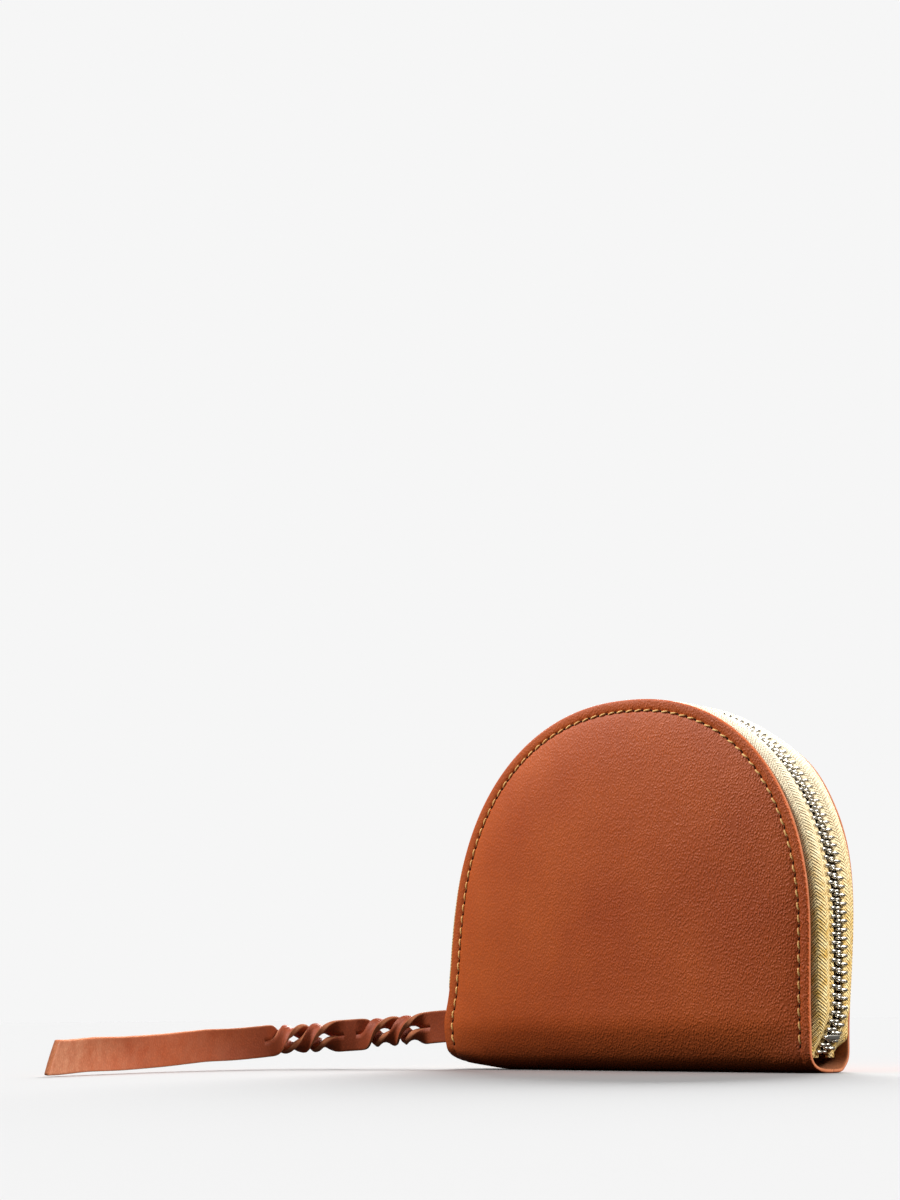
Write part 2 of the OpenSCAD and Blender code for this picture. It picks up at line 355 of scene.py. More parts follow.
def fibre_material(name, dark, light, grain=1.0):
    """Cut edges and the rough side of the leather."""
    s = Shader(name)
    where = s.place()
    fine = s.noise(where, 3200, 4, 0.65)
    coarse = s.noise(where, 500, 3, 0.6)
    both = s.times(fine, 0.6, s.times(coarse, 0.4))
    tone = s.mix(s.spread(both, 0.3, 0.7), dark, light)
    return s.finish(tone, 0.86, both, 0.5 * grain, 0.0002, Specular_IOR_Level=0.2)


def tape_material():
    """Herringbone cotton tape: ribs that lean one way and then the other, in columns. It is
    painted paler towards the top, a painted highlight, and the low parts of its weave get painted shade."""
    column_w, rib_pitch, yarn_pitch = 2.2, 0.86, 0.6
    s = Shader("zip_tape_herringbone")
    along, across = s.uv("weave")
    column = s.math("FLOOR", s.math("DIVIDE", across, column_w))
    way = s.times(s.math("MODULO", column, 2.0), 2.0, -1.0)
    slant = s.times(s.times(across, way), 0.9, along)
    rib = s.wave(slant, rib_pitch)
    pick = s.wave(along, yarn_pitch)
    end = s.wave(across, yarn_pitch)
    seat = s.math("PINGPONG", across, column_w / 2)
    valley = s.spread(seat, 0.0, 0.2)
    where = s.place()
    fuzz = s.noise(where, 3600, 3, 0.6)
    blotch = s.noise(where, 600, 3, 0.6)
    knots = s.times(pick, end)
    height = s.times(rib, 0.30, s.times(knots, 0.22, fuzz))
    height = s.times(height, s.times(valley, 0.35, 0.65))
    painted_top_highlight, pale = colour(255, 248, 228), colour(255, 230, 168)
    gold, deep = colour(226, 182, 94), colour(78, 48, 8)
    tone = s.mix(s.spread(blotch, 0.35, 0.65), gold, pale)
    up = s.split(where)[2]
    # Painted highlight: the tape turns cream towards the top of the pouch.
    tone = s.mix(s.spread(up, 0.036, 0.080, 0.0, 0.75), tone, painted_top_highlight)
    # Painted shade in the weave's low parts. It is weaker towards the top, where the painted highlight is.
    gap = s.spread(height, 0.08, 0.58, 0.95, 0.0)
    gap = s.times(gap, s.spread(up, 0.036, 0.085, 1.0, 0.45))
    return s.finish(s.mix(gap, tone, deep), 0.8, height, 0.9, 0.0003, Specular_IOR_Level=0.2)


def cloth_material(name, warp, weft):
    """Plain woven cotton, on coordinates in the plane of the panels."""
    yarn_pitch = 0.00042
    s = Shader(name)
    where = s.place()
    parts = s.split(where)
    over = s.times(s.wave(parts[0], yarn_pitch), s.wave(parts[2], yarn_pitch))
    slub = s.noise(where, 900, 3, 0.6)
    height = s.times(over, 0.35, slub)
    tone = s.mix(s.spread(over, -0.6, 0.6), warp, weft)
    tone = s.mix(s.spread(slub, 0.35, 0.75, 0.0, 0.35), tone, colour(120, 96, 66))
    return s.finish(tone, 0.9, height, 0.5, 0.00015, Specular_IOR_Level=0.2, Sheen_Weight=0.2)


def metal_material(name, tint, rough):
    """Plated metal, with dull patches and fine scratches."""
    s = Shader(name)
    where = s.place()
    scratch = s.noise(where, 1800, 4, 0.7)
    cloud = s.noise(where, 300, 3, 0.5)
    dull = tuple(v * 0.8 for v in tint[:3]) + (1,)
    tone = s.mix(s.spread(cloud, 0.4, 0.75), tint, dull)
    rough = s.spread(scratch, 0.3, 0.8, rough, rough + 0.06)
    return s.finish(tone, rough, scratch, 0.08, 0.00008, Metallic=1.0)


def thread_material():
    s = Shader("waxed_thread")
    where = s.place()
    ply = s.noise(where, 3000, 2, 0.5)
    tone = s.mix(s.spread(ply, 0.35, 0.65), colour(228, 154, 64), colour(255, 220, 136))
    return s.finish(tone, 0.6, ply, 0.6, 0.0001, Sheen_Weight=0.2)


def dark_material(name, dark, light):
    s = Shader(name)
    speck = s.noise(s.place(), 2500, 3, 0.6)
    return s.finish(s.mix(speck, dark, light), 0.9, speck, 0.3, 0.0001, Specular_IOR_Level=0.1)


# base=True adds painted shade along the bottom of the pouch.
tan = leather_material("tan_leather", colour(178, 74, 16), colour(196, 90, 28), base=True)
# The strap's last colour is its paler tail: partly wear, partly a painted sheen.
strap_tan = leather_material("strap_leather", colour(138, 54, 19), colour(156, 68, 28), 0.6, 0.56,
                             colour(214, 156, 120))
edge_tan = fibre_material("cut_edge", colour(146, 78, 46), colour(186, 118, 82))
flesh = fibre_material("flesh_side", colour(112, 62, 36), colour(150, 92, 58))
tape_cloth = tape_material()
lining_cloth = cloth_material("cotton_lining", colour(196, 176, 138), colour(222, 206, 172))
board_grey = fibre_material("grey_board", colour(120, 112, 102), colour(150, 142, 130), 0.5)
thread = thread_material()
# Near black: painted shade for the needle holes.
needle_hole_shade = dark_material("needle_hole_shade", colour(34, 16, 8), colour(62, 28, 14))
tooth_metal = metal_material("nickel_teeth", colour(208, 201, 187), 0.3)
slider_metal = metal_material("nickel_slider", colour(226, 221, 210), 0.32)


# -------- strap
def strap_frames():
    """Lengths along the strap, its middle line, its direction, its width axis, the side that
    faces forwards, and the length of the CAD's route."""
    line = curve_through(STRAP_ROUTE, 12)
    total = lengths(line)[-1]
    line = np.vstack([line, line[-1] + STRAP_PAST * unit(line[-1] - line[-2])])
    at = np.concatenate([np.arange(0, TWISTED, 0.5), np.linspace(TWISTED, total + STRAP_PAST, 76)])
    middle = at_length(line, at)
    sewn_in = np.arange(-STRAP_SEWN, -0.1, 0.6)
    at = np.concatenate([sewn_in, at])
    middle = np.vstack([middle[0] + np.outer(-sewn_in, (1, 0, 0)), middle])
    ahead = unit(np.gradient(middle, axis=0))
    face = unit(np.cross(ahead, [0, 0, 1.0]))
    face[np.sum(face * [0.7, -0.7, 0], axis=1) < 0] *= -1
    width = unit(np.cross(face, ahead))
    width[width[:, 2] < 0] *= -1
    return at, middle, ahead, width, face, total


def half_turns(at, spans):
    """Angle that grows by half a turn over each span of (start, length)."""
    return sum(ease(at, start, start + span) for start, span in spans) * math.pi


def half_section(half_w):
    """Half of the strap's section: from its middle on the front, round its edge, to its middle behind."""
    t, r = STRAP_T / 2, 0.28
    ends = [(half_w * k, t) for k in (0, 0.3, 0.6, 0.85)]
    edge = [(half_w - r, t), (half_w - 0.08, t - 0.1), (half_w, t - r), (half_w, r - t),
            (half_w - 0.08, 0.1 - t), (half_w - r, -t)]
    back = [(half_w * k, -t) for k in (0.85, 0.6, 0.3, 0)]
    return np.array(ends + edge + back)


class Strap:
    """The strap's two halves, which part at the slits and twist round each other there."""

    def __init__(self):
        self.at, self.middle, self.ahead, self.width, self.face, self.total = strap_frames()
        self.around = half_turns(self.at, CROSSINGS)
        self.roll = half_turns(self.at, ROLLS)
        self.section = half_section(STRAP_W / 2)
        self.split = np.zeros(len(self.at), bool)
        for start, end in SLITS:
            self.split |= (self.at > start + 0.01) & (self.at < end - 0.01)
        self.lean = math.radians(-9) * ease(self.at, 62, self.total)
        self.cup = 0.25 * np.sin(self.at / 9.0) + 0.35 * ease(self.at, 56, 75)
        self.middle[:, 2] += 0.8 * ease(self.at, 60, 84) * (1 - 0.7 * ease(self.at, 135, self.total))

    def ring(self, i, sign):
        """Points round one half at a step: it turns in itself, and round the other half."""
        half_w, turn, around, lean = STRAP_W / 2, self.roll[i], self.around[i], self.lean[i]
        width, face = self.width[i], self.face[i]
        squeezed = math.sin(turn) ** 2 * self.split[i]
        across = (self.section[:, 0] - half_w / 2) * sign * (1 + 0.4 * math.sin(around) ** 2)
        cup = self.cup[i] * (self.section[:, 0] / half_w) ** 2 * (not self.split[i])
        through = self.section[:, 1] * (1 + 0.55 * squeezed) + cup
        apart = width * math.cos(around) * half_w / 2 + face * math.sin(around) * 1.3
        centre = apart * sign * (1 - 0.12 * squeezed) + width * 0.1 * squeezed
        spot = (centre + np.outer(across, width * math.cos(turn) + face * math.sin(turn))
                + np.outer(through, face * math.cos(turn) - width * math.sin(turn)))
        up, out = spot @ width, spot @ face
        spot = (np.outer(up * math.cos(lean) + out * math.sin(lean), width)
                + np.outer(out * math.cos(lean) - up * math.sin(lean), face))
        slant = -3.0 * ease(self.at[i], self.total - 40, self.total) * (up / STRAP_W + 0.5)
        return self.middle[i] + spot + np.outer(slant, self.ahead[i])

    def rings(self):
        """All points, and the numbers of those in each ring. Outside the slits the second half's
        ring shares the first one's ends."""
        points, index = [], []
        for i in range(len(self.at)):
            first = list(range(len(points), len(points) + len(self.section)))
            points += list(self.ring(i, 1))
            ring = self.ring(i, -1)
            if not self.split[i]:
                ring = ring[1:-1]
            second = list(range(len(points), len(points) + len(ring)))
            points += list(ring)
            index.append((first, second if self.split[i] else [first[0]] + second + [first[-1]]))
        return points, index

    def faces(self, index):
        """Faces, and the kind of each: 0 on the strap's sides, and 1 where the leather is cut."""
        faces, kinds = [], []
        sides = len(self.section)
        for i in range(len(index) - 1):
            for a, b in zip(index[i], index[i + 1]):
                for j in range(sides - 1):
                    faces.append([a[j], a[j + 1], b[j + 1], b[j]])
                    kinds.append(1 if 4 <= j <= 8 else 0)
                if self.split[i] or self.split[i + 1]:
                    faces.append([a[-1], a[0], b[0], b[-1]])
                    kinds.append(1)
        for ring in index[0] + index[-1]:
            for j in range(sides // 2 - 1):
                faces.append([ring[j], ring[j + 1], ring[-2 - j], ring[-1 - j]])
                kinds.append(1)
        return faces, kinds


def build_strap():
    strap = Strap()
    points, index = strap.rings()
    faces, kinds = strap.faces(index)
    obj = make_object("wrist_strap", points, faces, [strap_tan, edge_tan], kinds)
    outward(obj)
    start = Vector(STRAP_ROUTE[0]) / 1000
    far = np.array([(v.co - start).length * 1000 for v in obj.data.vertices])
    # Paler towards the free end: partly wear, partly a painted sheen where the tilted tail catches the
    # light.
    wear_and_painted_sheen = obj.data.attributes.new("wear_and_painted_sheen", "FLOAT", "POINT")
    wear_and_painted_sheen.data.foreach_set("value", (0.15 * ease(far, 46, 74) + 0.6 * ease(far, 80, 140)).astype(np.float32))
    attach(obj, "back_half")
    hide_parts("strap", "strap_tab")


build_strap()


# -------- the pouch's soft shape
def fold_curve():
    """Section of the base, from its middle up to the flat of the front: points and their lengths."""
    t = np.linspace(0, math.pi / 2, 1500)
    line = np.stack([-HALF_T * np.sin(t) ** FOLD_Q, FOLD_H * (1 - np.cos(t) ** FOLD_Q)], 1)
    return line, lengths(line)


FOLD_LINE, FOLD_RUN = fold_curve()
FOLD_S = FOLD_RUN[-1]
SHOULDER_S = FOLD_S + SHOULDER - FOLD_H


def s_at(z):
    """Length up the leather, from the middle of the base, to a height on the front."""
    return FOLD_S + z - FOLD_H


def on_leather(x, s, out):
    """Points on the front leather: across it, up it from the middle of the base, and out of it."""
    x, s, out = (np.asarray(v, float) for v in np.broadcast_arrays(x, s, out))
    y = np.where(s < FOLD_S, np.interp(s, FOLD_RUN, FOLD_LINE[:, 0]), -HALF_T)
    z = np.where(s < FOLD_S, np.interp(s, FOLD_RUN, FOLD_LINE[:, 1]), FOLD_H + s - FOLD_S)
    near = np.clip(s, 0.02, None)
    dy, dz = (np.interp(near + 0.2, FOLD_RUN, line) - np.interp(near - 0.2, FOLD_RUN, line)
              for line in FOLD_LINE.T)
    flat = s > FOLD_S - 0.2
    dy, dz = np.where(flat, 0.0, dy), np.where(flat, 1.0, dz)
    size = np.hypot(dy, dz)
    return np.stack([x, y - dz / size * out, z + dy / size * out], -1)


def settle(points, bulge=0.0):
    """The pouch isn't rigid: it leans a little at the top, its left end lifts off the table,
    and the strap pushes the leather out where it is sewn in."""
    p = np.array(points, float)
    x, y, z = p[..., 0], p[..., 1], p[..., 2]
    lift = 1.1 * ease(-x, 44, 56) + 1.4 * np.clip((-x - 53) / 8, 0, 1) ** 2
    flare = 2.4 * (1 - ease(z, 4, 46)) * ease(-x, 30, 61)
    sink = 0.75 * np.clip((z - 30) / 65, 0, 1.1) ** 2
    push = 0.55 * bulge * bell(z, 12, 5.5) * ease(-x, 47, 61)
    z = z + lift * (1 - ease(z, 0, 8.5)) - sink
    x = x + 3.0 * np.clip((z - 14) / 81, 0, 1.3) ** 1.3 - flare
    return np.stack([x - push * 1.8, y - push * 0.5, z], -1)


def to_back(points):
    """The same shape on the back, which droops at the top, leans to the right at the shoulders,
    and narrows at its right foot."""
    p = np.asarray(points) * [1, -1, 1]
    x, y, z = p[..., 0], p[..., 1], p[..., 2]
    away = ease(y, 2.5, 7.5)
    droop = 2.0 * ease(z, 70, 92) * away
    lean = 1.6 * ease(z, 30, 62) * (1 - ease(z, 74, 90)) * ease(x, 10, 50) * away
    narrower = 1.5 * (1 - ease(z, 5, 35)) * ease(x, 45, 61) * away
    return np.stack([x + lean - narrower, y, z - droop], -1)


def on_side(points, side, bulge=0.0):
    """Front points as they settle, or the same on the back, where the side is -1."""
    return settle(points, bulge) if side > 0 else to_back(settle(points))


def arch_line(s0):
    """Cut edge of the leather, from the right foot over the arch to the left foot, in the pattern."""
    side = np.linspace(s0, SHOULDER_S, 120)
    t = np.linspace(0, math.pi, 900)[1:-1]
    e = 2 / FULLNESS
    arch = np.stack([HALF_W * np.sign(np.cos(t)) * np.abs(np.cos(t)) ** e,
                     SHOULDER_S + (TOP - SHOULDER) * np.sin(t) ** e], 1)
    right = np.stack([np.full(120, HALF_W), side], 1)
    left = np.stack([np.full(120, -HALF_W), side[::-1]], 1)
    return np.vstack([right, arch, left])


class Edge:
    """The cut edge, evenly stepped, with the direction into the leather at each step."""

    def __init__(self, s0, step):
        line = arch_line(s0)
        self.total = lengths(line)[-1]
        count = max(8, int(round(self.total / step)))
        self.at = np.linspace(0, self.total, count + 1)
        self.line = at_length(line, self.at)
        ahead = unit(np.gradient(self.line, axis=0))
        ahead[0], ahead[-1] = (0, 1), (0, -1)
        self.inwards = np.stack([-ahead[:, 1], ahead[:, 0]], 1)
        self.dense = line[::3]

    def ring(self, inset):
        return self.line + self.inwards * inset

    def spot(self, at, inset):
        """Points at some lengths along the edge and some way in from it."""
        line = np.stack([np.interp(at, self.at, self.line[:, k]) for k in (0, 1)], -1)
        way = np.stack([np.interp(at, self.at, self.inwards[:, k]) for k in (0, 1)], -1)
        return line + unit(way) * np.asarray(inset)[..., None]

    def inset_of(self, points):
        """How far some points lie from the edge."""
        return np.array([np.sqrt(((self.dense - p) ** 2).sum(1).min()) for p in points])


def puff(inset, s):
    """How far the padded face stands out of its cut edge."""
    rise = 1 - np.exp(-np.clip(inset - 3.2, 0, None) / 8.5)
    return PUFF * rise * ease(s, FOLD_S * 0.72, FOLD_S + 7)


def ripple(x, s, seed):
    """A slow unevenness of the leather."""
    x, s = np.broadcast_arrays(x, s)
    out = [noise.fractal(Vector((a / 26, b / 26, seed)), 1.0, 2.0, 2) for a, b in zip(x.ravel(), s.ravel())]
    return np.array(out).reshape(x.shape)


def grid_inside(loop, s0, cell):
    """Points of the line that closes the last ring at its foot, and of a grid inside the ring."""
    half = loop[0][0]
    count = int(round(2 * half / cell))
    foot = np.stack([np.linspace(-half, half, count + 1), np.full(count + 1, s0)], 1)[1:-1]
    right = loop[: len(loop) // 2]
    top = loop[len(loop) // 2][1]
    rows = []
    steps = int(round((top - s0) / cell))
    for k in range(1, steps):
        s = s0 + (top - s0) * k / steps
        reach = np.interp(s, right[:, 1], right[:, 0])
        n = int((reach - 0.55 * cell) // cell)
        if reach > cell:
            rows += [(x * cell, s) for x in range(-n, n + 1)]
    return foot, np.array(rows)


class Pattern:
    """A sheet's flat pattern: rings along its cut edge, and a triangulated grid inside the last."""

    def __init__(self, insets, s0, step, cell):
        edge = Edge(s0, step)
        rings = [edge.ring(d) for d in insets]
        loop = rings[-1]
        foot, grid = grid_inside(loop, s0, cell)
        corners = [Vector(p) for p in np.vstack([loop, foot, grid])]
        border = list(range(len(loop) + len(foot)))
        made = delaunay_2d_cdt(corners, [], [border], 1, 1e-5)
        inner = np.array([tuple(v) for v in made[0]])
        n, m = len(edge.at), len(insets)
        self.ring_size, self.ring_count = n, m
        self.where = np.vstack(rings + [inner])
        self.inset = np.concatenate([np.full(n, d) for d in insets] + [edge.inset_of(inner)])
        self.phase = np.concatenate([edge.at] * m + [np.zeros(len(inner))])
        number = {}
        for k, origin in enumerate(made[3]):
            shared = [v for v in origin if v < n]
            number[k] = (m - 1) * n + shared[0] if shared else m * n + k
        self.inside = [[number[v] for v in f] for f in made[2]]
        found = {o[0]: number[k] for k, o in enumerate(made[3]) if o and n <= o[0] < n + len(foot)}
        self.foot = [j * n for j in range(m)]
        self.foot += [found[n + i] for i in range(len(foot))][::-1]
        self.foot += [j * n + n - 1 for j in range(m)][::-1]

    def faces(self):
        """Faces of the closed sheet, and the kind of each: 0 outside, 1 on the cut edge, 2 inside."""
        n, behind = self.ring_size, len(self.where)
        strips = [[a, a + 1, a + n + 1, a + n]
                  for j in range(self.ring_count - 1) for a in range(j * n, j * n + n - 1)]
        one = strips + self.inside
        edge = [[i, i + 1, behind + i + 1, behind + i] for i in range(n - 1)]
        foot = [[a, b, behind + b, behind + a] for a, b in zip(self.foot, self.foot[1:])]
        faces = one + [[behind + v for v in f] for f in one] + edge + foot
        return faces, [0] * len(one) + [2] * len(one) + [1] * len(edge) + [2] * len(foot)


def panel(name, side, insets, depths, materials, step, s0=0.0, cell=2.6, foot_in=0.0):
    """A sheet of the pouch's shape, with an outer and an inner face at the two depths."""
    pattern = Pattern(insets, s0, step, cell)
    x, s = pattern.where[:, 0], pattern.where[:, 1]
    calm = ease(s, 4, FOLD_S + 14) * ease(pattern.inset, 3, 12)
    sway = ripple(x, s, 2.0 + side) * 0.15 * calm
    narrow = 1 - foot_in * (1 - ease(s, FOLD_S, FOLD_S + 14))
    layers = [on_leather(x * narrow, s, depth(pattern.inset, s, pattern.phase) + sway) for depth in depths]
    faces, kinds = pattern.faces()
    obj = make_object(name, on_side(np.vstack(layers), side, 1.0), faces, materials, kinds)
    join_triangles(obj)
    return obj


def join_triangles(obj):
    """Drops unused points, and joins pairs of triangles into quads."""
    bm = bmesh.new()
    bm.from_mesh(obj.data)
    loose = [v for v in bm.verts if not v.link_faces]
    bmesh.ops.delete(bm, geom=loose, context="VERTS")
    inside = [f for f in bm.faces if len(f.verts) == 3]
    bmesh.ops.join_triangles(bm, faces=inside, angle_face_threshold=0.6, angle_shape_threshold=0.9)
    bmesh.ops.recalc_face_normals(bm, faces=bm.faces)
    bm.to_mesh(obj.data)
    bm.free()
    shade_smooth(obj.data)


def with_front(obj, *nodes, slot):
    """A piece of the front half: its transform is baked into its mesh, and its CAD nodes are hidden."""
    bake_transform(obj)
    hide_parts(*nodes)


def with_back(obj, *nodes, slot):
    """A piece of the back half."""
    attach(obj, "back_half")
    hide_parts(*nodes)


SIDES = ((1, "front", with_front), (-1, "back", with_back))
LEATHER_INSETS = [0.0, 0.12, 0.35, 0.8, 1.4, 2.0, 2.4, 2.7, 3.0, 3.3, 3.6, 4.0, 4.7, 5.6, 6.8, 8.3, 10, 12]
SEAM_LENGTH = Edge(0.0, 1.0).total
STITCH_COUNT = int(round(SEAM_LENGTH / STITCH))
STITCH_STEP = SEAM_LENGTH / STITCH_COUNT


def leather_outer(inset, s, phase):
    rounding = -0.26 * np.exp(-inset / 0.16)
    rim = 0.12 * np.clip(1 - ((inset - 1.5) / 1.5) ** 2, 0, 1) * ease(s, FOLD_S * 0.5, FOLD_S)
    holes = 0.65 + 0.35 * np.cos(2 * math.pi * phase / STITCH_STEP)
    groove = -0.34 * bell(inset, SEAM, 0.5) * holes
    return puff(inset, s) + rounding + rim + groove


def leather_inner(inset, s, phase):
    return puff(inset, s) - LEATHER + 0.2 * np.exp(-inset / 0.16)


def build_leather():
    shell = {1: ("front_panel", "front_fold"), -1: ("back_panel", "back_fold", "base_strip")}
    for side, word, place in SIDES:
        obj = panel(word + "_leather", side, LEATHER_INSETS, (leather_outer, leather_inner),
                    [tan, edge_tan, flesh], STITCH_STEP / 4)
        place(obj, *shell[side], slot="leather")


def layer(depth, thick):
    """Outer and inner faces of a sheet that lies some way behind the leather's outside."""
    return (lambda d, s, p: puff(d, s) - depth, lambda d, s, p: puff(d, s) - depth - thick)


def build_layers():
    rings = [0.0, 0.5, 1.5, 3.0, 5.0, 7.5]
    for side, word, place in SIDES:
        board = panel(word + "_board", side, [10 + r for r in rings], layer(1.08, 0.6),
                      [board_grey] * 3, 1.6, s0=s_at(9.0), cell=4)
        place(board, word + "_stiffener", slot="board")
        lining = panel(word + "_lining_cloth", side, [3.6 + r for r in rings], layer(1.75, 0.45),
                       [lining_cloth] * 3, 1.6, cell=4, foot_in=0.13)
        base = ["base_lining"] if side < 0 else []
        place(lining, word + "_lining", *base, slot="lining")


build_leather()
build_layers()


# -------- slip pocket
def build_pocket():
    """A flat pocket on the back lining, with a turned hem along its top."""
    low, high = box_mm("slip_pocket")
    hem_z = high[2] - 6.0
    xs = np.linspace(low[0], high[0], 43)
    zs = np.concatenate([np.linspace(low[2], high[2] - 8, 16), np.linspace(high[2] - 7, high[2], 12)])
    z, x = (v.ravel() for v in np.meshgrid(zs, xs, indexing="ij"))
    sag = 0.5 * (1 - (x / high[0]) ** 2) * ease(z, low[2] + 8, high[2]) ** 2
    face = puff(np.minimum(HALF_W - np.abs(x), 30.0), s_at(z)) - 2.75 - sag
    hem = 0.22 * ease(z, hem_z - 0.2, hem_z + 0.2) - 0.15 * bell(z, hem_z, 0.25)
    layers = [on_leather(x, s_at(z), face), on_leather(x, s_at(z), face - 0.45 - hem)]
    rows, cols, total = len(zs), len(xs), len(x)
    faces = []
    for a in (j * cols + i for j in range(rows - 1) for i in range(cols - 1)):
        faces.append([a, a + 1, a + cols + 1, a + cols])
        faces.append([total + a, total + a + cols, total + a + cols + 1, total + a + 1])
    number = np.arange(total).reshape(rows, cols)
    rim = [number[0], number[1:, -1], number[-1, -2::-1], number[-2:0:-1, 0]]
    rim = np.concatenate(rim).tolist()
    for a, b in zip(rim, rim[1:] + rim[:1]):
        faces.append([a, b, total + b, total + a])
    obj = make_object("slip_pocket_cloth", on_side(np.vstack(layers), -1), faces, [lining_cloth])
    outward(obj)
    with_back(obj, "slip_pocket", slot="lining")


build_pocket()


# -------- seams
def thread_tube(path, radius):
    """A thread along a path, with a radius at each step."""
    ahead = unit(np.gradient(path, axis=0))
    a = unit(np.cross(ahead, [0.3, 1.0, 0.2]))
    b = np.cross(ahead, a)
    turn = np.arange(8) * math.pi / 4
    ring = [path[i] + radius[i] * (np.outer(np.cos(turn), a[i]) + np.outer(np.sin(turn), b[i]))
            for i in range(len(path))]
    return np.vstack(ring), loft_faces(len(path), 8)


def seam():
    """Stitches on the outside and the inside, and dark marks between them: painted shade for the needle
    holes.
    """
    edge, parts = Edge(0.0, 0.5), Parts()
    first = int(math.ceil(s_at(3.6) / STITCH_STEP))
    t = np.linspace(0, 1, 9)
    arc = np.sin(math.pi * t)
    radius = 0.25 * np.sqrt(np.clip(1 - (2 * t - 1) ** 6, 0.12, 1))
    for k in range(first, STITCH_COUNT - first):
        inset = SEAM + 0.22 * (2 * t - 1) + 0.03 * math.sin(k * 2.3)
        x, s = edge.spot((k + 0.15 + 0.70 * t) * STITCH_STEP, inset).T
        parts.add(*thread_tube(on_leather(x, s, -0.32 + 0.42 * arc ** 0.6), radius))
        parts.add(*thread_tube(on_leather(x, s, -LEATHER - 1.32 - 0.1 * arc), radius * 0.9))
    t = np.linspace(-1, 1, 5)
    radius = 0.33 * np.sqrt(np.clip(1 - t ** 2, 0.15, 1))
    # Dark capsules sunk into the seam groove between stitches: painted shade where the needle holes are.
    for k in range(first, STITCH_COUNT - first + 1):
        x, s = edge.spot(k * STITCH_STEP + t * 0.56, SEAM - 0.2 * t).T
        parts.add(*thread_tube(on_leather(x, s, -0.36), radius), 1)
    return parts


def build_seams():
    for side, word, place in SIDES:
        obj = seam().object(word + "_seam", [thread, needle_hole_shade], lambda p: on_side(p, side, 1.0))
        place(obj, word + "_stitching", slot="thread")


build_seams()


# -------- zip
def stand_out(z, x):
    """How far the zip's outermost metal stands out of the leather's cut edge; less in the slider."""
    high = 3.0 - 3.6 * np.clip((z - SHOULDER) / (TOP - SHOULDER), 0, 1) ** 2.3
    in_slider = np.where(np.asarray(x) < 0, 2.05 * (1 - ease(z, 13.5, 23)), 0)
    return high - 5.0 * np.clip((16 - z) / 11, 0, 1) ** 1.6 - in_slider


def valley(z):
    """How much the chain lies below the rolls of the tape, towards the top."""
    return ease(z, 42, 80)


class ZipLine:
    """The leather's edge in the plane of the panel, which the zip follows."""

    def __init__(self, foot, step):
        line = arch_line(0.0)
        line = np.stack([line[:, 0], line[:, 1] - SHOULDER_S + SHOULDER], 1)
        line = line[line[:, 1] > foot]
        total = lengths(line)[-1]
        at = np.linspace(0, total, int(round(total / step)) + 1)
        self.at, self.line = at, at_length(line, at)
        ahead = unit(np.gradient(self.line, axis=0))
        self.out = np.stack([ahead[:, 1], -ahead[:, 0]], 1)

    def path(self, n):
        """Points at a distance out of the edge at each step."""
        return self.line + self.out * np.asarray(n)[:, None]


def tape_section(p, push, tuck, z):
    """Middle of the tape across its width: out from the edge, and forwards from the middle plane.
    The sewn-in strap pushes it back, and tucking makes it stand out less."""
    step, dip = 1.15 * push, float(valley(z))
    held = tuck * 5 * float(ease(z, 4.5, 8.5)) - 5
    return np.array([
        (-5.2, step - 7.35),
        (min(-0.6, p - 2.4), step - 7.35),
        (max(p - 1.55 - 0.6 * tuck, held + 0.3), step - 7.0),
        (max(p - 0.6 - 1.15 * tuck + 0.45 * dip, held + 0.5), step * 0.7 - 6.0),
        (max(p - 0.4 - 0.75 * tuck + 0.55 * dip, held + 0.1), step * 0.2 - 5.0),
        (p - 0.85 - 0.2 * tuck + 0.15 * dip, -4.0),
        (p - 1.3 - 0.3 * dip, -3.1),
        (p - 1.3 - 0.3 * dip, -1.9)])


def tape_ring(middle):
    """The tape's section round its middle, thicker at the edge beside the teeth, and for each
    point its length across the tape."""
    ahead = unit(np.gradient(middle, axis=0))
    normal = np.stack([ahead[:, 1], -ahead[:, 0]], 1)
    run = lengths(middle)
    half = (0.22 + 0.28 * ease(run, run[-1] - 1.6, run[-1] - 0.9))[:, None]
    ring = np.vstack([middle + normal * half, (middle - normal * half)[::-1]])
    return ring, np.concatenate([run, run[::-1]])


def build_tape():
    zipline = ZipLine(3.4, 1.3)
    for side, word, place in SIDES:
        rings, weave = [], []
        for (x, z), out, at in zip(zipline.line, zipline.out, zipline.at):
            push = float(ease(z, 4, 7) * (1 - ease(z, 15.5, 20))) if x < 0 < side else 0.0
            middle = tape_section(float(stand_out(z, x)), push, float(side < 0), z)
            ring, across = tape_ring(curve_through(middle, 4))
            rings.append(np.stack([x + out[0] * ring[:, 0], ring[:, 1], z + out[1] * ring[:, 0]], 1))
            weave.append(np.stack([np.full(len(ring), at), across], 1))
        faces = loft_faces(len(rings), len(rings[0]))
        obj = make_object(word + "_zip_tape", on_side(np.vstack(rings), side), faces, [tape_cloth])
        corner = np.zeros(len(obj.data.loops), np.int32)
        obj.data.loops.foreach_get("vertex_index", corner)
        woven = np.vstack(weave)[corner].astype(np.float32)
        obj.data.uv_layers.new(name="weave").data.foreach_set("uv", woven.ravel())
        outward(obj)
        ends = ["left_tape_end", "right_tape_end"] if side > 0 else []
        place(obj, word + "_tape", word + "_tape_margin", word + "_tape_edge", *ends, slot="zip_tape")


